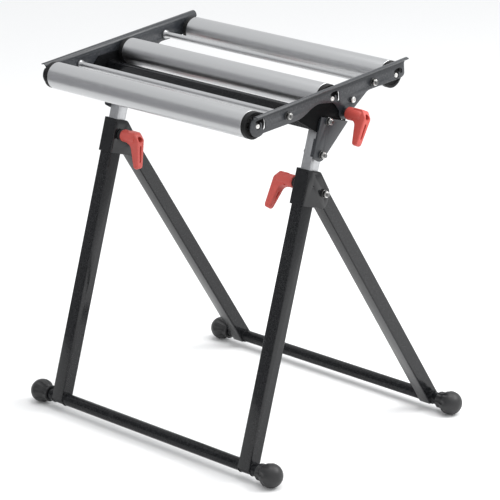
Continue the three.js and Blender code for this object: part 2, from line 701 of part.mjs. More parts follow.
function buildTable() {
  add(tableFrame, 'cross_beam', crossBeam(), BLACK_PAINT);
  for (const end of ['front', 'rear']) {
    add(tableFrame, `tie_rod_${end}`, tieRod(TIE_T[end], TIE_N[end]), BRIGHT_STEEL);
  }
  ROLLER_T.forEach((t, index) => {
    const name = ROLLER_NAMES[index];
    add(tableFrame, `axle_${name}`, axle(t), BRIGHT_STEEL);
    add(tableFrame, `roller_tube_${name}`, rollerTube(t), BRIGHT_STEEL);
    for (const [sideName, side] of SIDES) {
      add(tableFrame, `roller_cap_${name}_${sideName}`, rollerCap(side, t), BLACK_PLASTIC);
    }
  });
  for (const [name, side] of SIDES) {
    add(tableFrame, `side_plate_${name}`, sidePlate(side), GREY_PAINT);
    add(tableFrame, `swivel_plate_${name}`, swivelPlate(side), BLACK_PAINT);
    add(tableFrame, `swivel_bolt_${name}`, swivelBolt(side), BRIGHT_STEEL);
    for (const end of ['front', 'rear']) {
      add(tableFrame, `tie_nut_${end}_${name}`, tieNut(side, TIE_T[end], TIE_N[end]), BRIGHT_STEEL);
    }
    // the lock's square nut sits behind the sector, its lever outside the bracket
    const x = BRACKET_X[1] + GAP + 8;
    const nutX = x - SECTOR_X[0] + GAP;
    const nut = box(-nutX - 5, -nutX, -7, 7, -7, 7);
    const screw = join(screwBody(nutX + 4, TILT_COLLAR, COLLAR_RADIUS.tilt), nut);
    const swing = TILT_SWING[name];
    addClamp(tableFrame, `tilt_${name}`, side * x, LOCK_T, LOCK_N, side, swing, TILT_ARM, screw);
  }
}

buildFrontFrame();
buildRearFrame();
buildPosts();
buildTable();

export default stand;
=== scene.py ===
import json
import math

import bmesh
import bpy
from mathutils import Matrix, Vector


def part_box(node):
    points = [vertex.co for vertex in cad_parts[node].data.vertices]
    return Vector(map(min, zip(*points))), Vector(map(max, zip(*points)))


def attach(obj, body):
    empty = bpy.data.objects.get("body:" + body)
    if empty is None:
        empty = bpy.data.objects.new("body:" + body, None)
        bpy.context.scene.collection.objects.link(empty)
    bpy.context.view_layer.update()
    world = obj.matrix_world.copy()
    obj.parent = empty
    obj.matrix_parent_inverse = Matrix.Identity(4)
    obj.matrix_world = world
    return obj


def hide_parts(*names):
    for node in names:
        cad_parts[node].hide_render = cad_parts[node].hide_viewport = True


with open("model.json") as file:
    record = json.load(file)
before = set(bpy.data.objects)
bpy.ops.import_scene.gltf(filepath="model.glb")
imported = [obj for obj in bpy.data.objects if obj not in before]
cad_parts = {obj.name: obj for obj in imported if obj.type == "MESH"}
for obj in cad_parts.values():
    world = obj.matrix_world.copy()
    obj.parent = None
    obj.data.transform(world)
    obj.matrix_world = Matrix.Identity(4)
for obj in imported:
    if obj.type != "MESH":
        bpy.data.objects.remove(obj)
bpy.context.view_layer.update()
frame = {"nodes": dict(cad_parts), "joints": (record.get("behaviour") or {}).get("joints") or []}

MM = 0.001
JOINTS = {j["name"]: j for j in frame["joints"]}
SIDES = {"left": -1, "right": 1}
ENDS = ("front", "middle", "rear")
X_AXIS = Vector((1, 0, 0))

# sizes in millimetres
GAP = 0.3              # clearance between touching pieces
SHEET = 2.2            # thickness of the side plates and head brackets
SHANK = 4.0            # radius of every bolt and screw
PITCH = 0.7            # of their threads
HOLE = 4.3             # radius of the holes for them
FLATS = 13.0           # width across a nut's flats
BAR_RADIUS = 12.5      # crossbar
LEG_HALF = 15.0        # half the width of a leg tube
LEG_WALL = 1.5
SLEEVE_HALF = 18.3     # half the outer width of a sleeve bracket
POST_WALL = 1.2
FOOT_RADIUS = 24.0     # ball of a foot
ROLLER_RADIUS = 26.5
ROLLER_WALL = 1.2
PLATE_LOW = -16        # height of the side plate's lower front edge and the swivel plate's tip
POINTS_APART = 0.02    # outline points closer than this are merged


# ---------------------------------------------------------------- local frames

def turned_place(origin, up):
    """A frame whose x is the row's x and whose z is up. It takes millimetres."""
    up = up.normalized()
    along = up.cross(X_AXIS)
    turn = Matrix((X_AXIS, along, up)).transposed().to_4x4()
    return Matrix.Translation(origin) @ turn @ Matrix.Scale(MM, 4)


def centre(node):
    low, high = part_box(node)
    return (low + high) / 2


def joint_point(name):
    return Vector(JOINTS[name]["pos_m"])


def in_plane(point):
    """The point moved into the middle plane, x = 0."""
    return Vector((0, point.y, point.z))


SLIDE = Vector(JOINTS["height_slide"]["axis"])
LEG = turned_place(in_plane(centre("front_crossbar")), SLIDE)
REAR_ORIGIN = in_plane(centre("rear_crossbar"))
FOLD = in_plane(joint_point("rear_frame_fold"))
REAR = turned_place(REAR_ORIGIN, FOLD - REAR_ORIGIN)
REAR_LENGTH = (FOLD - REAR_ORIGIN).length / MM
ROLLER_AT = {k: in_plane(joint_point(f"roller_{k}_spin")) for k in ENDS}
TABLE_LINE = (ROLLER_AT["rear"] - ROLLER_AT["front"]).normalized()
TABLE = turned_place(ROLLER_AT["middle"], X_AXIS.cross(TABLE_LINE))
PIVOT = in_plane(joint_point("table_tilt"))


def within(place, point):
    """(y, z) of a row point in a local frame, in millimetres."""
    local = place.inverted() @ point
    return local.y, local.z


ROLLER_T = {k: within(TABLE, ROLLER_AT[k])[0] for k in ENDS}
FOLD_UV = within(LEG, FOLD)
PIVOT_UV = within(LEG, PIVOT)
PIVOT_TN = within(TABLE, PIVOT)
CLAMP_UV = within(LEG, in_plane(joint_point("height_clamp_right_turn")))
LOCK_TN = within(TABLE, in_plane(joint_point("tilt_clamp_right_turn")))
LOW_UV = within(LEG, in_plane(centre("bracket_spacer_right")))
TIE_TN = {k: within(TABLE, in_plane(centre(f"tie_rod_{k}"))) for k in ("front", "rear")}
SWIVEL_TN = within(TABLE, in_plane(centre("swivel_bolt_right")))
LEG_X = centre("front_leg_right").x / MM


def x_span(node):
    """Inner and outer distance of a node from the middle plane, in millimetres."""
    low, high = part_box(node)
    return min(abs(low.x), abs(high.x)) / MM, max(abs(low.x), abs(high.x)) / MM


# ------------------------------------------------------------------ materials

class Shader:
    """A principled material whose nodes are added one call at a time."""

    def __init__(self, name, colour, rough, metal):
        self.material = bpy.data.materials.new(name)
        self.material.use_nodes = True
        self.nodes = self.material.node_tree.nodes
        self.links = self.material.node_tree.links
        self.principled = self.nodes["Principled BSDF"]
        self.set("Base Color", (*colour, 1))
        self.set("Roughness", rough)
        self.set("Metallic", metal)
        self.place = self.nodes.new("ShaderNodeTexCoord").outputs["Object"]

    def set(self, socket, value):
        self.principled.inputs[socket].default_value = value

    def node(self, kind, settings=None, **values):
        made = self.nodes.new(kind)
        for key, value in (settings or {}).items():
            setattr(made, key, value)
        for key, value in values.items():
            made.inputs[key.replace("_", " ")].default_value = value
        return made

    def noise(self, scale, detail=2.0, stretch=None, rough=0.5):
        made = self.node("ShaderNodeTexNoise", Scale=scale, Detail=detail, Roughness=rough)
        source = self.place
        if stretch:
            mapping = self.node("ShaderNodeMapping", Scale=stretch)
            self.links.new(source, mapping.inputs["Vector"])
            source = mapping.outputs["Vector"]
        self.links.new(source, made.inputs["Vector"])
        return made.outputs["Fac"]

    def ramp(self, source, low, high, out_low, out_high):
        made = self.node("ShaderNodeMapRange")
        for index, value in enumerate((low, high, out_low, out_high)):
            made.inputs[index + 1].default_value = value
        self.links.new(source, made.inputs["Value"])
        return made.outputs["Result"]

    def blend(self, factor, first, second):
        """A colour between two colours or sockets."""
        made = self.node("ShaderNodeMix", {"data_type": "RGBA"})
        self.links.new(factor, made.inputs[0])
        for index, value in ((6, first), (7, second)):
            if isinstance(value, bpy.types.NodeSocket):
                self.links.new(value, made.inputs[index])
            else:
                made.inputs[index].default_value = (*value, 1)
        return made.outputs[2]

    def drive(self, socket, source):
        self.links.new(source, self.principled.inputs[socket])

    def bump(self, height, strength, distance):
        made = self.node("ShaderNodeBump", Strength=strength, Distance=distance)
        previous = self.principled.inputs["Normal"]
        if previous.is_linked:
            self.links.new(previous.links[0].from_socket, made.inputs["Normal"])
        self.links.new(height, made.inputs["Height"])
        self.links.new(made.outputs["Normal"], previous)

    def edges(self, low, high):
        """About 1 on convex edges and 0 on flats."""
        pointiness = self.node("ShaderNodeNewGeometry").outputs["Pointiness"]
        return self.ramp(pointiness, low, high, 0, 1)


def gloss_coat(name, dark, light, edge_glint_tone, rough, shine):
    """Gloss black coating with orange peel, faint dust and a thin painted highlight on its convex
    edges.
    """
    made = Shader(name, dark, rough, 0.0)
    base = made.blend(made.noise(14, 4), dark, light)
    # painted highlight: convex edges, broken up by noise, are blended towards a lighter tone
    edge_glint = made.node("ShaderNodeMath", {"operation": "MULTIPLY"})
    made.links.new(made.edges(0.52, 0.6), edge_glint.inputs[0])
    made.links.new(made.ramp(made.noise(260, 5), 0.45, 0.7, 0, 0.5), edge_glint.inputs[1])
    glinted_base = made.blend(edge_glint.outputs[0], base, edge_glint_tone)
    dust = made.ramp(made.noise(420, 6), 0.62, 0.8, 0, 0.28)
    made.drive("Base Color", made.blend(dust, glinted_base, (0.035, 0.036, 0.038)))
    made.drive("Roughness", made.ramp(made.noise(22, 6), 0.3, 0.7, rough - 0.04, rough + 0.06))
    made.set("Specular IOR Level", shine)
    made.bump(made.noise(700, 2), 0.1, 0.0002)
    made.bump(made.noise(150, 2), 0.1, 0.0005)
    return made.material


def moulded(name, dark, light, rough, grain, shine=0.45):
    """Moulded plastic with a fine spark-eroded grain."""
    made = Shader(name, dark, rough, 0.0)
    made.drive("Base Color", made.blend(made.noise(60, 5), dark, light))
    made.drive("Roughness", made.ramp(made.noise(220, 4), 0.3, 0.7, rough - 0.06, rough + 0.08))
    made.set("Specular IOR Level", shine)
    made.bump(made.noise(2600, 2), grain, 0.00015)
    made.bump(made.noise(90, 3), 0.05, 0.0006)
    return made.material


def rolled_steel():
    """Satin tube with very fine lines running round it and faint handling marks."""
    made = Shader("rolled_steel", (0.6, 0.6, 0.6), 0.3, 1.0)
    lines = made.noise(1, 2, stretch=(700, 4, 4))
    cloud = made.noise(5, 4)
    smudge = made.noise(9, 1)
    tone = made.blend(made.ramp(lines, 0.3, 0.7, 0, 1), (0.5, 0.504, 0.51), (0.515, 0.519, 0.525))
    marks = made.ramp(cloud, 0.35, 0.7, 0, 0.5)
    made.drive("Base Color", made.blend(marks, tone, (0.508, 0.512, 0.518)))
    made.drive("Roughness", made.ramp(smudge, 0.35, 0.75, 0.31, 0.33))
    return made.material


def galvanised():
    """Bright zinc-plated tube, drawn lengthwise, with soft mottling."""
    made = Shader("galvanised", (0.62, 0.63, 0.64), 0.34, 1.0)
    spangle = made.node("ShaderNodeTexVoronoi", Scale=220.0)
    made.links.new(made.place, spangle.inputs["Vector"])
    cell = made.ramp(spangle.outputs["Distance"], 0.0, 0.6, 0, 1)
    draw = made.noise(1, 3, stretch=(900, 900, 16))
    tone = made.blend(cell, (0.4, 0.405, 0.415), (0.46, 0.465, 0.475))
    streaks = made.ramp(draw, 0.4, 0.7, 0, 0.6)
    made.drive("Base Color", made.blend(streaks, tone, (0.42, 0.425, 0.43)))
    made.drive("Roughness", made.ramp(draw, 0.3, 0.7, 0.36, 0.46))
    made.bump(draw, 0.06, 0.0001)
    return made.material


def plated(name, dark, light):
    """Plated fasteners with a rubbed look."""
    made = Shader(name, dark, 0.26, 1.0)
    made.drive("Base Color", made.blend(made.noise(300, 4), dark, light))
    made.drive("Roughness", made.ramp(made.noise(500, 4), 0.3, 0.7, 0.2, 0.36))
    made.bump(made.noise(1500, 2), 0.06, 0.0001)
    return made.material


BLACK = gloss_coat(
    "black_coat", (0.0045, 0.0048, 0.0055), (0.0075, 0.008, 0.009), (0.05, 0.051, 0.054), 0.13, 0.33)
GREY = gloss_coat(
    "sheet_coat", (0.015, 0.0172, 0.0212), (0.022, 0.0247, 0.029), (0.08, 0.083, 0.088), 0.34, 0.52)
# painted shade: near-black, hardly shiny coat standing for the shadow in the recess behind the side
# plate's arch
SHADE_BLACK = gloss_coat(
    "painted_shade_coat", (0.004, 0.0042, 0.0046), (0.006, 0.0063, 0.0067), (0.02, 0.021, 0.023), 0.4, 0.03)
BAR = gloss_coat(
    "bar_coat", (0.0045, 0.0048, 0.0055), (0.0075, 0.008, 0.009), (0.05, 0.051, 0.054), 0.18, 0.16)
PLASTIC = moulded("black_plastic", (0.012, 0.012, 0.0125), (0.02, 0.02, 0.021), 0.46, 0.2)
# painted shade: the roller caps get a darker, less shiny copy of the black plastic, for the shadow
# they sit in behind the side plates
SHADED_CAP = moulded("cap_plastic_shaded", (0.005, 0.005, 0.0053), (0.009, 0.009, 0.0095), 0.5, 0.1, 0.2)
RED = moulded("red_plastic", (0.47, 0.066, 0.054), (0.55, 0.082, 0.066), 0.42, 0.16)
STEEL = rolled_steel()
ZINC = plated("zinc", (0.55, 0.55, 0.54), (0.68, 0.67, 0.65))
# darkened zinc for washers, bolt heads, nut flanks and stud ends: partly a dark finish, partly
# painted shade for the dark front they reflect
SHADED_ZINC = plated("shaded_zinc", (0.1, 0.1, 0.1), (0.17, 0.17, 0.168))
POST = galvanised()


# -------------------------------------------------------------------- outlines

class Path:
    """A closed outline in two coordinates, built from lines and curves."""

    def __init__(self, x, y):
        self.points = [(x, y)]

    def line(self, *points):
        self.points += points
        return self

    def arc(self, x, y, radius, start, end, steps=18):
        for i in range(steps + 1):
            angle = start + (end - start) * i / steps
            self.points.append((x + radius * math.cos(angle), y + radius * math.sin(angle)))
        return self

    def quad(self, cx, cy, x, y, steps=8):
        x0, y0 = self.points[-1]
        for i in range(1, steps + 1):
            t = i / steps
            a, b, c = (1 - t) ** 2, 2 * t * (1 - t), t * t
            self.points.append((a * x0 + b * cx + c * x, a * y0 + b * cy + c * y))
        return self

    def spline(self, *through, steps=6):
        knots = [self.points[-1], *through]
        for i in range(len(knots) - 1):
            before = knots[max(i - 1, 0)]
            after = knots[min(i + 2, len(knots) - 1)]
            for k in range(1, steps + 1):
                t = k / steps
                self.points.append(tuple(
                    catmull(before[d], knots[i][d], knots[i + 1][d], after[d], t) for d in (0, 1)))
        return self


def catmull(p0, p1, p2, p3, t):
    v0, v1 = (p2 - p0) / 2, (p3 - p1) / 2
    return ((2 * p1 - 2 * p2 + v0 + v1) * t ** 3
            + (-3 * p1 + 3 * p2 - 2 * v0 - v1) * t * t + v0 * t + p1)


def circle(x, y, radius, steps=24):
    path = Path(x + radius, y).arc(x, y, radius, 0, 2 * math.pi, steps)
    return path.points[1:-1]


def rounded_square(half, radius, steps=5):
    points = []
    for corner in range(4):
        start = corner * math.pi / 2
        cx = (half - radius) * (1 if corner in (0, 3) else -1)
        cy = (half - radius) * (1 if corner in (0, 1) else -1)
        for i in range(steps + 1):
            angle = start + math.pi / 2 * i / steps
            points.append((cx + radius * math.cos(angle), cy + radius * math.sin(angle)))
    return points


def tidy(points):
    """The closed outline without points that nearly repeat the one before."""
    kept = []
    for p in points:
        if not kept or math.dist(kept[-1], p) > POINTS_APART:
            kept.append(p)
    if math.dist(kept[0], kept[-1]) <= POINTS_APART:
        kept.pop()
    return kept


# ---------------------------------------------------------------------- meshes

def extruded(loops, low, high, axes, edge=0.3, rounds=1):
    """Mesh of an outline with holes between two planes; axes maps (p, q, a) to x, y, z."""
    curve = bpy.data.curves.new("outline", "CURVE")
    curve.dimensions = "2D"
    curve.fill_mode = "BOTH"
    curve.extrude = (high - low) / 2 - edge
    curve.bevel_depth = edge
    curve.bevel_resolution = rounds
    curve.offset = -edge
    for loop in loops:
        points = tidy(loop)
        spline = curve.splines.new("POLY")
        spline.points.add(len(points) - 1)
        spline.use_cyclic_u = True
        for target, (p, q) in zip(spline.points, points):
            target.co = (p, q, 0, 1)
    holder = bpy.data.objects.new("outline", curve)
    mesh = bpy.data.meshes.new_from_object(holder)
    bpy.data.objects.remove(holder)
    bpy.data.curves.remove(curve)
    order = Matrix([[1 if axes[i] == name else 0 for i in range(3)] for name in "xyz"])
    shift = Matrix.Translation((0, 0, (low + high) / 2))
    mesh.transform(order.to_4x4() @ shift)
    return weld(mesh)


def weld(mesh, distance=0.005):
    """Merges close vertices, drops faces without area and turns the rest outwards."""
    solid = bmesh.new()
    solid.from_mesh(mesh)
    bmesh.ops.remove_doubles(solid, verts=solid.verts, dist=distance)
    bmesh.ops.dissolve_degenerate(solid, edges=solid.edges, dist=distance)
    bmesh.ops.recalc_face_normals(solid, faces=solid.faces)
    solid.to_mesh(mesh)
    solid.free()
    return mesh


def plate(loops, low, high, edge=0.3):
    """Sheet drawn in (y, z) between two distances from the middle plane."""
    return extruded(loops, low, high, "yzx", edge)


def tube_up(outer, inner, low, high):
    return extruded([outer, inner], low, high, "xyz", 0.25)


def turned(rings, steps=48, radius_at=None, materials=None):
    """Body of revolution about x. A ring is (x, radius) or (x, radius, flats).

    flats cuts the ring to a hexagon of that width. A first ring equal to the last closes it.
    """
    verts, rows, faces, slots = [], [], [], []
    loop = rings[0] == rings[-1]
    used = rings[:-1] if loop else rings
    for ring in used:
        x, radius = ring[0], ring[1]
        if radius < 1e-6:
            rows.append([len(verts)])
            verts.append((x, 0, 0))
            continue
        row = []
        for i in range(steps):
            angle = 2 * math.pi * i / steps
            r = radius
            if len(ring) > 2:
                turn = angle % (math.pi / 3) - math.pi / 6
                r = min(r, ring[2] / 2 / math.cos(turn))
            if radius_at:
                r = radius_at(x, r, angle)
            row.append(len(verts))
            verts.append((x, r * math.cos(angle), r * math.sin(angle)))
        rows.append(row)
    pairs = list(zip(rows, rows[1:]))
    if loop:
        pairs.append((rows[-1], rows[0]))
    for index, (a, b) in enumerate(pairs):
        for i in range(steps):
            j = (i + 1) % steps
            if len(a) == 1 and len(b) == 1:
                continue
            if len(a) == 1:
                faces.append((a[0], b[j], b[i]))
            elif len(b) == 1:
                faces.append((a[i], a[j], b[0]))
            else:
                faces.append((a[i], a[j], b[j], b[i]))
            slots.append(materials[index] if materials else 0)
    mesh = bpy.data.meshes.new("turned")
    mesh.from_pydata(verts, [], faces)
    mesh.polygons.foreach_set("material_index", slots)
    solid = bmesh.new()
    solid.from_mesh(mesh)
    bmesh.ops.recalc_face_normals(solid, faces=solid.faces)
    solid.to_mesh(mesh)
    solid.free()
    return mesh


def peg(radius, low, high, steps=32):
    """Solid rod along x, used to drill holes."""
    return turned([(low, 0), (low, radius), (high, radius), (high, 0)], steps)


def moved(mesh, x=0.0, y=0.0, z=0.0, flip=False):
    """The mesh moved, after an optional half turn about z."""
    turn = Matrix.Rotation(math.pi, 4, "Z") if flip else Matrix.Identity(4)
    mesh.transform(Matrix.Translation((x, y, z)) @ turn)
    return mesh


def joined(*meshes):
    """Several meshes as one, each kept as its own shell."""
    solid = bmesh.new()
    for mesh in meshes:
        solid.from_mesh(mesh)
    result = bpy.data.meshes.new("joined")
    solid.to_mesh(result)
    solid.free()
    return result


def combine(mesh, operation, *tools):
    """Exact boolean of a mesh with each tool mesh in turn."""
    base = bpy.data.objects.new("base", mesh)
    bpy.context.scene.collection.objects.link(base)
    made = [base]
    for tool in tools:
        other = bpy.data.objects.new("tool", tool)
        bpy.context.scene.collection.objects.link(other)
        modifier = base.modifiers.new("boolean", "BOOLEAN")
        modifier.operation = operation
        modifier.solver = "EXACT"
        modifier.object = other
        made.append(other)
    bpy.context.view_layer.update()
    graph = bpy.context.evaluated_depsgraph_get()
    result = bpy.data.meshes.new_from_object(base.evaluated_get(graph))
    for o in made:
        bpy.data.objects.remove(o)
    return weld(result, 0.002)


def bevelled(mesh, width, segments=2, angle=40):
    base = bpy.data.objects.new("base", mesh)
    bpy.context.scene.collection.objects.link(base)
    modifier = base.modifiers.new("bevel", "BEVEL")
    modifier.width = width
    modifier.segments = segments
    modifier.limit_method = "ANGLE"
    modifier.angle_limit = math.radians(angle)
    bpy.context.view_layer.update()
    graph = bpy.context.evaluated_depsgraph_get()
    result = bpy.data.meshes.new_from_object(base.evaluated_get(graph))
    bpy.data.objects.remove(base)
    return result


def show(name, mesh, place, body, materials, nodes=(), angle=35):
    """Puts a mesh drawn in a local frame into the scene, riding on a body."""
    mesh.transform(place)
    mesh.name = name
    which = [face.material_index for face in mesh.polygons]
    mesh.materials.clear()
    for material in materials if isinstance(materials, list) else [materials]:
        mesh.materials.append(material)
    mesh.polygons.foreach_set("material_index", which)
    mesh.polygons.foreach_set("use_smooth", [True] * len(mesh.polygons))
    mesh.set_sharp_from_angle(angle=math.radians(angle))
    shown = bpy.data.objects.new(name, mesh)
    bpy.context.scene.collection.objects.link(shown)
    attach(shown, body)
    if nodes:
        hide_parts(*nodes)
    return shown


# -------------------------------------------------------- fasteners and beads

def screw_end(start, end, radius=SHANK):
    """Rings of a short threaded stub."""
    rings, x = [], start
    while x < end - 1.2:
        rings += [(x, radius), (x + PITCH / 2, radius - PITCH / 2)]
        x += PITCH
    return [*rings, (end - 0.8, radius), (end, radius - 0.8), (end, 0)]


def nut_rings(x, washer=8.0, flats=FLATS):
    """Rings of a washer and a locking nut that start at x and grow towards +x."""
    tall = x + 1.6
    return [
        (x, washer - 0.3), (x + 0.3, washer), (tall - 0.4, washer), (tall, washer - 0.4),
        (tall, 6.6, flats), (tall + 0.5, 7.5, flats), (tall + 4.4, 7.5, flats),
        (tall + 5.2, 6.1, flats), (tall + 5.2, 5.7), (tall + 6.6, 5.6), (tall + 7, 5.2),
        (tall + 7, 4.1),
    ]


def crown_faces(rings, nut_x):
    """Material 1 for the crown of a nut that starts at nut_x, and 0 for the rest; slot 0 gets the
    darkened zinc, partly a dark finish and partly painted shade.
    """
    return [1 if ring[0] > nut_x + 6.5 and ring[1] > SHANK + 0.2 else 0 for ring in rings]


def bolt(head_x, nut_x):
    """Hexagon bolt through to a locking nut, along +x; the nut's crown is material 1."""
    rings = [
        (head_x - 5.3, 0), (head_x - 5.3, 6.1, FLATS), (head_x - 4.7, 7.5, FLATS),
        (head_x, 7.5, FLATS), (head_x, SHANK), (nut_x, SHANK),
        *nut_rings(nut_x), *screw_end(nut_x + 8.6, nut_x + 12),
    ]
    return turned(rings, 48, materials=crown_faces(rings, nut_x))


def bead(radius, thick=1.5, steps=64, lumps=26):
    """Ring-shaped weld about x with overlapping ripples."""
    verts, faces, sides = [], [], 8
    for i in range(steps):
        angle = 2 * math.pi * i / steps
        swell = thick * (1 + 0.16 * math.sin(lumps * angle) + 0.08 * math.sin(7 * angle + 1))
        for k in range(sides):
            turn = 2 * math.pi * k / sides
            r = radius + swell * math.sin(turn)
            verts.append((swell * math.cos(turn), r * math.cos(angle), r * math.sin(angle)))
    for i in range(steps):
        for k in range(sides):
            a, b = i * sides + k, i * sides + (k + 1) % sides
            c, d = (i + 1) % steps * sides + (k + 1) % sides, (i + 1) % steps * sides + k
            faces.append((a, b, c, d))
    mesh = bpy.data.meshes.new("bead")
    mesh.from_pydata(verts, [], faces)
    return weld(mesh, 0.0001)


# -------------------------------------------------------------- frame of tubes

def build_bar(name, place, body):
    half = x_span(name)[1]
    bore, edge = BAR_RADIUS - 1.2, 0.3
    bar = turned([
        (-half, bore), (-half, BAR_RADIUS - edge), (-half + edge, BAR_RADIUS),
        (half - edge, BAR_RADIUS), (half, BAR_RADIUS - edge), (half, bore), (-half, bore),
    ], 64)
    beads = [
        moved(bead(BAR_RADIUS + 0.1, 1.3), x=side * (LEG_X + step * (LEG_HALF + 0.6)))
        for side in (-1, 1) for step in (-1, 1)]
    show(name + "_tube", joined(bar, *beads), place, body, BAR, [name])


def foot_radius(x, r, angle):
    """Eight flutes that fade into the dome and the collar."""
    flutes, depth, collar_x, dome_x = 8, 2.6, 301.5, 333
    if r < BAR_RADIUS + 1:
        return r
    fade = min(max((x - collar_x) / 3, 0), 1) * min(max((dome_x - x) / 9, 0), 1)
    return r - depth * fade * max(math.cos(flutes * angle), 0) ** 0.7


def build_foot(name, place, body, side):
    low, high = x_span(name)
    collar, bore, steps = 17, BAR_RADIUS + 0.4, 22
    rings = [(low, bore), (low, collar - 0.8), (low + 0.8, collar)]
    first = math.asin(collar / FOOT_RADIUS)
    for i in range(steps + 1):
        angle = first + (math.pi - first) * i / steps
        radius = 0 if i == steps else FOOT_RADIUS * math.sin(angle)
        x = high - FOOT_RADIUS - FOOT_RADIUS * math.cos(angle)
        if x > low + 1.2:
            rings.append((x, radius))
    inner = [(low + 15.9, 0), (low + 15.9, bore)]
    foot = turned([*inner, *rings], 96, foot_radius)
    show(name + "_knob", moved(foot, flip=side < 0), place, body, PLASTIC, [name])


def build_leg(name, place, body, side, low, high, holes, round_top=False):
    outer, inner = rounded_square(LEG_HALF, 2.6), rounded_square(LEG_HALF - LEG_WALL, 1.4)
    leg = tube_up(outer, inner, low, high)
    tools = [peg(BAR_RADIUS + GAP, -40, 40, 64)]
    for u, v, radius in holes:
        tools.append(moved(peg(radius, -40, 40), y=u, z=v))
    leg = combine(leg, "DIFFERENCE", *tools)
    if round_top:
        crown = LEG_HALF + 0.2
        dome = Path(-crown, low - 5).line((crown, low - 5), (crown, high - LEG_HALF))
        dome.arc(0, high - LEG_HALF, crown, 0, math.pi, 24)
        leg = combine(leg, "INTERSECT", extruded([dome.points], -30, 30, "yzx", 0.1))
    show(name + "_tube", moved(leg, x=side * LEG_X), place, body, BLACK, [name])


def ear_path(bottom, top):
    front = -SLEEVE_HALF
    u, v = FOLD_UV
    path = Path(front, bottom).line((u + 4, bottom))
    path.quad(u + 11, bottom, u + 14, bottom + 13)
    path.quad(u + 17, v + 4, u + 11, v + 10)
    path.line((16, top - 3)).quad(13, top, 8, top)
    return path.line((front, top)).points


def build_sleeve(name, side, bottom, top):
    """U-bent bracket: round-cornered channel trimmed to the outline of its ears."""
    out, bore, corner, reach = SLEEVE_HALF, LEG_HALF + GAP, 14, 60
    path = Path(-out, reach).line((-out, -corner))
    path.quad(-out, -out, -corner, -out).line((corner, -out)).quad(out, -out, out, -corner)
    path.line((out, reach), (bore, reach), (bore, -corner)).quad(bore, -bore, corner, -bore)
    path.line((-corner, -bore)).quad(-bore, -bore, -bore, -corner).line((-bore, reach))
    channel = extruded([path.points], bottom - 5, top + 5, "xyz", 0.05)
    trim = extruded([ear_path(bottom, top)], -30, 30, "yzx", 0.02)
    sleeve = combine(channel, "INTERSECT", trim)
    pin = peg(HOLE, -40, 40)
    clamp_hole = moved(peg(HOLE, 0, 40), flip=side > 0)
    cone = [(17.2, 0), (17.2, 1.2), (19, 3.2), (19, 0)]
    dimples = [
        moved(turned(cone, 24), y=CLAMP_UV[0], z=v, flip=side < 0)
        for v in (CLAMP_UV[1], CLAMP_UV[1] + 21.6)]
    sleeve = combine(
        sleeve, "DIFFERENCE", moved(pin, y=FOLD_UV[0], z=FOLD_UV[1]),
        moved(clamp_hole, y=CLAMP_UV[0], z=CLAMP_UV[1]), *dimples)
    sleeve = bevelled(sleeve, 0.35)
    show(name + "_sheet", moved(sleeve, x=side * LEG_X), LEG, "front_frame", BLACK,
         [name])


def low_high(node, place):
    """Lowest and highest z of a node in a local frame, in millimetres."""
    inverse = place.inverted()
    heights = [(inverse @ v.co).z for v in frame["nodes"][node].data.vertices]
    return min(heights), max(heights)


def build_frames():
    build_bar("front_crossbar", LEG, "front_frame")
    build_bar("rear_crossbar", REAR, "rear_frame")
    for name, side in SIDES.items():
        build_foot(f"front_foot_{name}", LEG, "front_frame", side)
        build_foot(f"rear_foot_{name}", REAR, "rear_frame", side)
        low, high = low_high(f"front_leg_{name}", LEG)
        build_leg(f"front_leg_{name}", LEG, "front_frame", side, low, high, [])
        low, high = low_high(f"rear_leg_{name}", REAR)
        build_leg(f"rear_leg_{name}", REAR, "rear_frame", side, low, high,
                  [(0, REAR_LENGTH, HOLE)], round_top=True)
        low, high = low_high(f"sleeve_bracket_{name}", LEG)
        build_sleeve(f"sleeve_bracket_{name}", side, low, high)
        ear = SLEEVE_HALF + GAP
        fold = moved(bolt(-ear, ear), y=FOLD_UV[0], z=FOLD_UV[1], flip=side < 0)
        show(f"fold_bolt_{name}_set", moved(fold, x=side * LEG_X), LEG, "front_frame",
             [SHADED_ZINC, ZINC], [f"fold_bolt_{name}"])


# ----------------------------------------------------------------------- posts

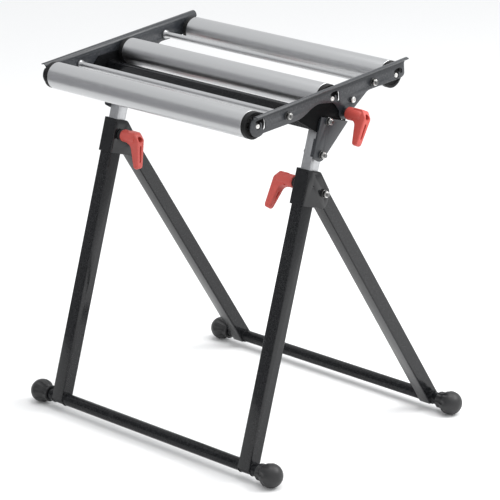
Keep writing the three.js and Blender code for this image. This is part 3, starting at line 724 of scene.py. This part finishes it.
def build_posts():
    inner, outer = x_span("post_right")
    half = (outer - inner) / 2
    sector = x_span("tilt_sector_right")
    bracket = x_span("head_bracket_right")
    sheet = (bracket[1] - SHEET, bracket[1])
    plate_in, plate_out = x_span("swivel_plate_right")[1] + GAP, sheet[0] - GAP
    for name, side in SIDES.items():
        low, high = low_high(f"post_{name}", LEG)
        tube = tube_up(rounded_square(half, 2.2), rounded_square(half - POST_WALL, 1.1), low, high)
        holes = [
            moved(peg(HOLE, -30, 30), y=u, z=v)
            for u, v in (PIVOT_UV, LOW_UV)]
        tube = combine(tube, "DIFFERENCE", *holes)
        show(f"post_{name}_tube", moved(tube, x=side * LEG_X), LEG, "posts", POST,
             [f"post_{name}"])
        build_head_bracket(name, side, sector[0], sheet)
        build_sector(name, side, sector)
        near, far = half + GAP, sheet[0] - LEG_X - GAP
        spacer = turned([
            (near, HOLE), (near, 7.6), (near + 0.4, 8), (far - 0.4, 8), (far, 7.6), (far, HOLE),
            (near, HOLE)], 40)
        spacer = moved(spacer, y=LOW_UV[0], z=LOW_UV[1], flip=side < 0)
        show(f"bracket_spacer_{name}_tube", moved(spacer, x=side * LEG_X), LEG, "posts", ZINC,
             [f"bracket_spacer_{name}"])
        for kind, (u, v) in (("pivot", PIVOT_UV), ("lower", LOW_UV)):
            made = bolt(-half - GAP, sheet[1] + GAP - LEG_X)
            if kind == "pivot":
                inner_end, outer_end = plate_in - LEG_X, plate_out - LEG_X
                collar = turned([
                    (inner_end, SHANK), (inner_end, 6.8), (outer_end, 6.8),
                    (outer_end, SHANK), (inner_end, SHANK)], 40)
                made = joined(made, collar)
            made = moved(made, y=u, z=v, flip=side < 0)
            show(f"head_{kind}_bolt_{name}_set", moved(made, x=side * LEG_X), LEG, "posts",
                 [SHADED_ZINC, ZINC], [f"head_{kind}_bolt_{name}"])


def mirrored(mesh, side):
    """The mesh as drawn for +x, or its mirror image for -x."""
    if side < 0:
        mesh.transform(Matrix.Scale(-1, 4, X_AXIS))
        mesh.flip_normals()
    return mesh


def build_head_bracket(name, side, lip_edge, sheet):
    front, corner, rounded = -21, 55, 14
    back = front + SHEET
    side_edge = x_span("side_plate_right")[0]
    top = PIVOT_UV[1] + 5.7
    low = LOW_UV[1]
    path = Path(front, top - 3).line((front, low - 7))
    path.quad(front + 1, low - 10, front + 6, low - 11)
    path.line((-6, low - rounded + 0.6)).quad(6, low - rounded - 1, 11, low - 3, 10)
    path.line((corner - 2, top - 3)).quad(corner, top, corner - 3, top)
    path.line((front + 3, top)).quad(front, top, front, top - 3)
    holes = [circle(*PIVOT_UV, HOLE), circle(*LOW_UV, HOLE)]
    flat = plate([path.points, *holes], sheet[0], sheet[1])
    # the lip is folded inwards from the front edge, and is narrower beside the table
    lips = []
    for edge, bottom, end in (
            (lip_edge + 1.2, low - 6.5, low + 28), (side_edge + 0.2, low + 27, top - 3.5)):
        lip_path = Path(edge, front).line((sheet[1] - 3, front))
        lip_path.quad(sheet[1] - 0.1, front, sheet[1] - 0.1, front + 3)
        lip_path.line((sheet[0] + 0.1, front + 3))
        lip_path.quad(sheet[0] + 0.1, back, sheet[0] - 0.8, back).line((edge, back))
        lips.append(extruded([lip_path.points], bottom, end, "xyz", 0.2))
    made = combine(flat, "UNION", *lips)
    show(f"head_bracket_{name}_sheet", mirrored(made, side), LEG, "posts", GREY,
         [f"head_bracket_{name}"])


def build_sector(name, side, span):
    u, v = PIVOT_UV
    lock = TABLE @ Vector((0, *LOCK_TN))
    lock_u, lock_v = within(LEG, lock)
    reach = math.hypot(lock_u - u, lock_v - v)
    rest = math.atan2(lock_v - v, lock_u - u)
    # the slot runs one degree past the tilt's limits of -12 and 15 degrees
    down, up, half = rest - math.radians(13), rest + math.radians(16), 5
    outline = Path(-11, v - 16).line((14, v - 16))
    outline.arc(u, v, reach + 9, down - 0.14, up + 0.14, 16)
    outline.line((10, v + 9), (-11, v + 7))

    def at(angle):
        return u + reach * math.cos(angle), v + reach * math.sin(angle)

    slot = Path(u + (reach + half) * math.cos(down), v + (reach + half) * math.sin(down))
    slot.arc(u, v, reach + half, down, up, 14).arc(*at(up), half, up, up + math.pi, 10)
    slot.arc(u, v, reach - half, up, down, 14)
    slot.arc(*at(down), half, down + math.pi, down + 2 * math.pi, 10)
    made = plate([outline.points, slot.points, circle(u, v, HOLE)], *span, 0.2)
    # the sector takes the near-black painted-shade coat
    show(f"tilt_sector_{name}_sheet", mirrored(made, side), LEG, "posts", SHADE_BLACK,
         [f"tilt_sector_{name}"])


# ----------------------------------------------------------------------- table

def hook_slot(t, reach, low):
    """Slot that an axle end drops into: up the far leg, over, and down on to the axle."""
    seat, sill, top = 6.5, 5, 13.6
    tongue = seat + 3.4
    leg = (reach - tongue) / 2
    side = min(sill - 1, leg + low)
    path = Path(t - seat, 0).arc(t, 0, seat, math.pi, 2 * math.pi, 14)
    path.line((t + seat, sill - 1)).quad(t + seat + 0.2, sill - 0.1, t + seat + 1, sill)
    path.line((t + tongue - 1, sill)).quad(t + tongue - 0.1, sill - 0.1, t + tongue, side)
    path.arc(t + tongue + leg, leg + low, leg, math.pi, 2 * math.pi, 12)
    path.line((t + reach, sill)).quad(t + reach, top, t + 9, top)
    return path.line((t + 3, top)).quad(t - seat - 1, top - 0.6, t - seat, sill).points


def build_side_plate(name, side):
    bend, slope, rear_edge = 19.2, 0.022, 200
    front_lug, rear_low, lobe = 20, -8, 14
    front_t, rear_t = ROLLER_T["front"], ROLLER_T["rear"]
    lock_t, lock_n = LOCK_TN
    front_bend = bend + slope * (front_t - 15)
    front_top = math.pi - math.asin(front_bend / front_lug)
    front_low = 2 * math.pi - math.asin(-PLATE_LOW / front_lug)
    path = Path(front_t + front_lug * math.cos(front_top), front_bend)
    path.arc(front_t, 0, front_lug, front_top, front_low, 30).line((-92, PLATE_LOW))
    path.spline(
        (-76, -11.5), (-58, -4), (-38, 0), (-14, -4.5), (4, -10.5), (lock_t - lobe + 1, lock_n + 6))
    path.arc(lock_t, lock_n, lobe, math.pi * 0.88, math.pi * 1.79, 20)
    path.line((91, rear_low - 3)).quad(95, rear_low - 0.5, 101, rear_low).line((184, rear_low))
    path.quad(rear_edge - 1, rear_low + 1, rear_edge, 0).line((rear_edge, bend + slope * rear_edge))
    holes = [hook_slot(ROLLER_T["rear"], 16.5, 1)]
    holes += [hook_slot(ROLLER_T[end], 19, -10) for end in ("front", "middle")]
    holes += [circle(*TIE_TN["front"], HOLE), circle(*TIE_TN["rear"], HOLE)]
    holes += [circle(*SWIVEL_TN, HOLE), circle(*LOCK_TN, HOLE)]
    inner = x_span("side_plate_right")[0]
    outer = inner + SHEET
    flat = plate([path.points, *holes], inner, outer)
    # the flange curves outwards from the bend, past level, and ends in a short straight lip
    past, lip, bend_radius = math.pi / 2 - 0.35, 3.0, 8.5
    small = bend_radius - SHEET
    out_n, out_x = -lip * math.cos(past), lip * math.sin(past)
    rim = Path(-3, inner + 0.02)
    turns = [math.pi + (past - math.pi) * i / 14 for i in range(15)]
    rim.line(*[
        (bend_radius * math.sin(a), inner + bend_radius + bend_radius * math.cos(a))
        for a in turns])
    rim.line(*[
        (radius * math.sin(past) + out_n, inner + bend_radius + radius * math.cos(past) + out_x)
        for radius in (bend_radius, small)])
    rim.line(*[
        (small * math.sin(a), inner + bend_radius + small * math.cos(a) - 0.02)
        for a in reversed(turns)])
    rim.line((-3, outer - 0.02))
    flange = extruded([rim.points], front_t - 10.8, rear_t + 24, "zxy", 0.15)
    flange.transform(
        Matrix.Translation((0, 0, bend)) @ Matrix.Rotation(math.atan(slope), 4, "X"))
    made = combine(flat, "UNION", flange)
    show(f"side_plate_{name}_sheet", mirrored(made, side), TABLE, "table", GREY,
         [f"side_plate_{name}"])


def build_swivel_plate(name, side):
    pivot_t, pivot_n = PIVOT_TN
    lock_t, lock_n = LOCK_TN
    bolt_t, bolt_n = SWIVEL_TN
    path = Path(-96.5, PLATE_LOW).line((-46, -53))
    path.quad(pivot_t - 18, pivot_n - 23, pivot_t, pivot_n - 22)
    path.quad(pivot_t + 16, pivot_n - 22, pivot_t + 22, pivot_n - 8)
    path.line((lock_t - 6, lock_n - 12))
    path.arc(lock_t, lock_n, 13, math.pi * 1.35, math.pi * 1.75, 12)
    path.line((bolt_t + 10, bolt_n - 8), (bolt_t + 10, bolt_n + 6), (-8, bolt_n + 6))
    path.line((-16, 5), (-74, 5))
    holes = [circle(*p, HOLE) for p in (PIVOT_TN, LOCK_TN, SWIVEL_TN)]
    made = plate([path.points, *holes], *x_span("swivel_plate_right"), 0.25)
    # the swivel plate takes the near-black painted-shade coat instead of the side plate's grey
    show(f"swivel_plate_{name}_sheet", mirrored(made, side), TABLE, "table", SHADE_BLACK,
         [f"swivel_plate_{name}"])


def build_beam():
    half = x_span("cross_beam")[1]
    points = [(TABLE.inverted() @ v.co) for v in frame["nodes"]["cross_beam"].data.vertices]
    t0, t1 = min(p.y for p in points), max(p.y for p in points)
    n0, n1 = min(p.z for p in points), max(p.z for p in points)
    wall, bend = 2, 3
    path = Path(t1, n0).line((t0 + bend, n0)).quad(t0, n0, t0, n0 + bend).line((t0, n1 - bend))
    path.quad(t0, n1, t0 + bend, n1).line((t1, n1), (t1, n1 - wall), (t0 + bend, n1 - wall))
    path.quad(t0 + wall, n1 - wall, t0 + wall, n1 - bend).line((t0 + wall, n0 + bend))
    path.quad(t0 + wall, n0 + wall, t0 + bend, n0 + wall).line((t1, n0 + wall))
    made = extruded([path.points], -half, half, "yzx", 0.25)
    show("cross_beam_channel", made, TABLE, "table", BLACK, ["cross_beam"])


def build_tie(end):
    t, n = TIE_TN[end]
    face = x_span("side_plate_right")[0] - GAP
    stud = x_span(f"tie_rod_{end}")[1]
    half = [
        (face - 11, 6), (face - 4, 8.4), (face - 3, 9), (face - 0.4, 9), (face, 8.6),
        (face, SHANK)]
    half += screw_end(face + 10, stud)
    rings = [(-x, r) for x, r in reversed(half)] + half
    # the threaded ends take the darkened zinc, partly painted shade
    thread = [1 if abs(ring[0]) > face + 9 else 0 for ring in rings]
    rod = moved(turned(rings, 40, materials=thread), y=t, z=n)
    show(f"tie_rod_{end}_bar", rod, TABLE, "table", [STEEL, SHADED_ZINC],
         [f"tie_rod_{end}"])
    start = x_span("side_plate_right")[0] + SHEET + GAP
    for name, side in SIDES.items():
        rings = nut_rings(start)
        rings = [(start, HOLE), *rings[:-1], (rings[-1][0], HOLE), (start, HOLE)]
        nut = turned(rings, 48, materials=crown_faces(rings, start))
        nut = moved(nut, y=t, z=n, flip=side < 0)
        show(f"tie_nut_{end}_{name}_set", nut, TABLE, "table", [SHADED_ZINC, ZINC],
             [f"tie_nut_{end}_{name}"])


def build_roller(end):
    t = ROLLER_T[end]
    body = f"roller_{end}"
    half = x_span(f"roller_tube_{end}")[1]
    radius, bore = ROLLER_RADIUS, ROLLER_RADIUS - ROLLER_WALL
    tube = turned([
        (-half, bore), (-half, radius - 0.5), (-half + 0.5, radius), (half - 0.5, radius),
        (half, radius - 0.5), (half, bore), (-half, bore)], 128)
    show(f"roller_{end}_tube", moved(tube, y=t), TABLE, body, STEEL,
         [f"roller_tube_{end}"])
    outer = x_span(f"roller_cap_{end}_right")[1]
    rim = half + GAP
    cap = turned([
        (rim - 12, 5.4), (rim - 12, bore - 0.6), (rim - 0.2, bore - 0.6), (rim, bore - 0.4),
        (rim, radius - 0.5), (rim + 0.4, radius - 0.2), (outer - 1.6, radius - 0.2),
        (outer - 0.4, radius - 1.2), (outer, radius - 2.4), (outer, 21.2), (outer - 0.6, 20.6),
        (outer - 3.6, 19.6), (outer - 4, 18.6), (outer - 4, 10.4), (outer - 3.4, 9.8),
        (outer - 0.6, 9.2), (outer - 0.2, 8.6), (outer - 0.2, 6), (outer - 0.8, 5.4),
        (rim - 12, 5.4)], 72)
    count, circle_radius, holes = 12, 14.5, []
    for i in range(count):
        angle = 2 * math.pi * i / count
        holes.append(moved(
            peg(1.7, outer - 7, outer + 2, 14),
            y=circle_radius * math.cos(angle), z=circle_radius * math.sin(angle)))
    cap = combine(cap, "DIFFERENCE", joined(*holes))
    for name, side in SIDES.items():
        made = moved(moved(cap.copy(), flip=side < 0), y=t)
        show(f"roller_{end}_cap_{name}", made, TABLE, body, SHADED_CAP,
             [f"roller_cap_{end}_{name}"])
    axle_half = x_span(f"axle_{end}")[1]
    stub = [(axle_half - 1, 5), (axle_half, 4.1), (axle_half, 1.6), (axle_half - 1.4, 0)]
    rings = [(-x, r) for x, r in reversed(stub)] + stub
    show(f"axle_{end}_bar", moved(turned(rings, 40), y=t), TABLE, "table", ZINC,
         [f"axle_{end}"])


def build_table():
    build_beam()
    for end in ("front", "rear"):
        build_tie(end)
    for end in ENDS:
        build_roller(end)
    inner = x_span("swivel_plate_right")[0] - GAP
    outer = x_span("side_plate_right")[0] + SHEET + GAP
    for name, side in SIDES.items():
        build_side_plate(name, side)
        build_swivel_plate(name, side)
        rings = [
            (inner - 3.5, 0), (inner - 3.5, 6.4, FLATS), (inner - 3, 7.4, FLATS),
            (inner, 7.4, FLATS), (inner, SHANK), (outer, SHANK), (outer, 5.8),
            (outer + 0.3, 6), (outer + 3.6, 6),
            (outer + 4.4, 5.7), (outer + 5.1, 4.8), (outer + 5.5, 3), (outer + 5.5, 2.8),
            (outer + 4.6, 2.6), (outer + 4.6, 0)]
        made = moved(turned(rings, 48), y=SWIVEL_TN[0], z=SWIVEL_TN[1], flip=side < 0)
        show(f"swivel_bolt_{name}_set", made, TABLE, "table", ZINC,
             [f"swivel_bolt_{name}"])


# ---------------------------------------------------------------------- levers

def lever_mesh(arm):
    """Clamp lever: hub along +x from the origin, arm hanging down -z from its outer end."""
    length, thick, tip = 50.0, 9.5, 7.0
    hub_radius = 12.6
    hub = turned([
        (0, 0), (0, hub_radius - 1.2), (0.8, hub_radius - 0.4), (2, hub_radius),
        (length - 16, hub_radius), (length - 10, hub_radius - 1.2), (length - 10, 0)], 64)
    side = Path(18, 12.4).line((length - 13.5, 12.2)).quad(length - 10.5, 12, length - 8.6, 9.6)
    side.line((length - 1.6, 1.2)).quad(length, -1, length, -4)
    side.line((length - 2.6, tip - arm))
    side.arc(length - 2.6 - tip, tip - arm, tip, 0, -math.pi, 20)
    side.line((length - 21, -24)).quad(length - 21.5, -14, length - 30, -12.4)
    side.line((18, -12.4))
    grip = extruded([side.points], -thick, thick, "xzy", 2.2, 3)
    for v in grip.vertices:
        if v.co.z < -4:
            v.co.y *= 1 - 0.27 * (-4 - v.co.z) / (arm - 4)
    body = combine(hub, "UNION", grip)
    recess = turned([
        (length - 12, 0), (length - 12, 5), (length - 6, 5.6), (length + 3, 5.8),
        (length + 3, 0)], 40)
    outer_groove = (length - 4.4, length + 4, -15, 16 - arm)
    inner_groove = (20, length - 17.5, -27, 13 - arm)
    grooves = []
    for x0, x1, top, low in (outer_groove, inner_groove):
        slot = Path(-2.1, top).arc(0, low, 2.1, math.pi, 2 * math.pi, 10)
        slot.arc(0, top, 2.1, 0, math.pi, 10)
        grooves.append(extruded([slot.points], x0, x1, "yzx", 0.02))
    return bevelled(combine(body, "DIFFERENCE", recess, *grooves), 0.45, 2, 50)


def clamp_screw(reach, collar, radius, nut_at=None):
    """Screw with its collar along x: the shaft runs from -reach into the lever."""
    edge, groove, into_lever = 0.6, 0.7, 18
    x = -reach + 0.4
    rings = [(-reach, 0), (-reach, SHANK - 0.4), (x, SHANK)]
    while x < -collar - 1.6:
        rings += [(x + PITCH / 2, SHANK - 0.3), (x + PITCH, SHANK)]
        x += PITCH
    start = -GAP - collar
    rings += [
        (start, SHANK), (start, radius - edge), (start + edge, radius), (-3.6, radius),
        (-3.2, radius - groove), (-2.6, radius - groove), (-2.2, radius),
        (-GAP - edge, radius), (-GAP, radius - edge), (-GAP, SHANK), (into_lever, SHANK),
        (into_lever, 0)]
    screw = turned(rings, 48)
    if nut_at is None:
        return screw
    nut = bevelled(box_mesh(-nut_at - 5, -nut_at, -7, 7, -7, 7), 0.6)
    return joined(screw, nut)


def box_mesh(x0, x1, y0, y1, z0, z1):
    verts = [(x, y, z) for x in (x0, x1) for y in (y0, y1) for z in (z0, z1)]
    faces = [(0, 1, 3, 2), (4, 6, 7, 5), (0, 4, 5, 1), (2, 3, 7, 6), (0, 2, 6, 4), (1, 5, 7, 3)]
    mesh = bpy.data.meshes.new("box")
    mesh.from_pydata(verts, [], faces)
    return weld(mesh, 0.0001)


def clamp_place(place, x, y, z, direction, swing):
    """Where a clamp sits: its hub points along direction and it is turned by swing degrees."""
    flip = Matrix.Rotation(math.pi, 4, "Z") if direction < 0 else Matrix.Identity(4)
    turn = Matrix.Rotation(math.radians(swing), 4, "X")
    return place @ Matrix.Translation((x, y, z)) @ turn @ flip


def build_levers():
    # degrees between each arm and straight down in its local frame
    swings = {"height": {"left": 16, "right": -15}, "tilt": {"left": -28, "right": -28}}
    arms = {"height": 62, "tilt": 57}
    levers = {kind: lever_mesh(arm) for kind, arm in arms.items()}
    post_inner = x_span("post_right")[0]
    sector_inner = x_span("tilt_sector_right")[0]
    for name, side in SIDES.items():
        for kind in ("height", "tilt"):
            height = kind == "height"
            near, far = x_span(f"{kind}_{name}_lever")
            start = far if height else near
            direction = -side if height else side
            y, z = CLAMP_UV if height else LOCK_TN
            swing = swings[kind][name]
            place = clamp_place(LEG if height else TABLE, side * start, y, z, direction, swing)
            body = f"{kind}_clamp_{name}"
            show(f"{kind}_{name}_handle", levers[kind].copy(), place, body, RED,
                 [f"{kind}_{name}_lever"], 30)
            if height:
                screw = clamp_screw(post_inner - start - GAP, 10, 10.5)
            else:
                nut = start - sector_inner + GAP
                screw = clamp_screw(nut + 4, 7, 9, nut)
            show(f"{kind}_{name}_stud", screw, place, body, PLASTIC,
                 [f"{kind}_{name}_screw"])


build_frames()
build_posts()
build_table()
build_levers()


# ------------------------------------------------------------ studio and camera

def add_camera():
    data = bpy.data.cameras.new("camera")
    data.lens = 199.5
    data.sensor_width = 36
    data.clip_end = 60
    camera = bpy.data.objects.new("camera", data)
    bpy.context.scene.collection.objects.link(camera)
    right = Vector((0.7057, 0.7084, -0.0155)).normalized()
    forward = Vector((-0.6764, 0.667, -0.3125)).normalized()
    up = right.cross(forward)
    spot = Vector((3.7518, -3.6777, 2.0652))
    turn = Matrix((right, up, -forward)).transposed().to_4x4()
    camera.matrix_world = Matrix.Translation(spot) @ turn
    bpy.context.scene.camera = camera


def stage_plane(name, corners, colour, rough):
    """A flat sheet that belongs to the studio."""
    mesh = bpy.data.meshes.new(name)
    mesh.from_pydata(corners, [], [(0, 1, 2, 3)])
    material = bpy.data.materials.new(name)
    material.use_nodes = True
    shader = material.node_tree.nodes["Principled BSDF"]
    shader.inputs["Base Color"].default_value = (*colour, 1)
    shader.inputs["Roughness"].default_value = rough
    shader.inputs["Specular IOR Level"].default_value = 0.1
    mesh.materials.append(material)
    plane = bpy.data.objects.new(name, mesh)
    bpy.context.scene.collection.objects.link(plane)
    return plane


def add_floor():
    size = 30
    stage_plane("floor", [(-size, -size, 0), (size, -size, 0), (size, size, 0), (-size, size, 0)],
                (0.9, 0.9, 0.9), 0.9)


def add_flag():
    """Dark card at the front left that only reflections see."""
    left, right, high = (-2.6, -0.4), (0.9, -2.3), 1.5
    flag = stage_plane("flag", [(*left, 0), (*right, 0), (*right, high), (*left, high)],
                       (0.33, 0.33, 0.34), 0.9)
    flag.visible_camera = False
    flag.visible_diffuse = False
    flag.visible_shadow = False


def add_light(name, spot, target, size, power):
    data = bpy.data.lights.new(name, "AREA")
    data.shape = "RECTANGLE"
    data.size, data.size_y = size
    data.energy = power
    light = bpy.data.objects.new(name, data)
    bpy.context.scene.collection.objects.link(light)
    light.location = spot
    aim = Vector(target) - Vector(spot)
    light.rotation_euler = aim.to_track_quat("-Z", "Y").to_euler()
    light.visible_camera = False


def add_world():
    world = bpy.data.worlds.new("studio")
    world.use_nodes = True
    world.node_tree.nodes["Background"].inputs["Color"].default_value = (0.98, 0.99, 1, 1)
    world.node_tree.nodes["Background"].inputs["Strength"].default_value = 0.95
    bpy.context.scene.world = world


bpy.context.scene.view_settings.view_transform = "Standard"
add_camera()
add_floor()
add_flag()
add_world()
add_light("top", (0.1, 0.2, 2.6), (0, 0, 0.5), (1.6, 1.4), 26)
add_light("right", (1.5, 1.4, 2.0), (0.9, 0.9, 0), (1.6, 1.6), 50)
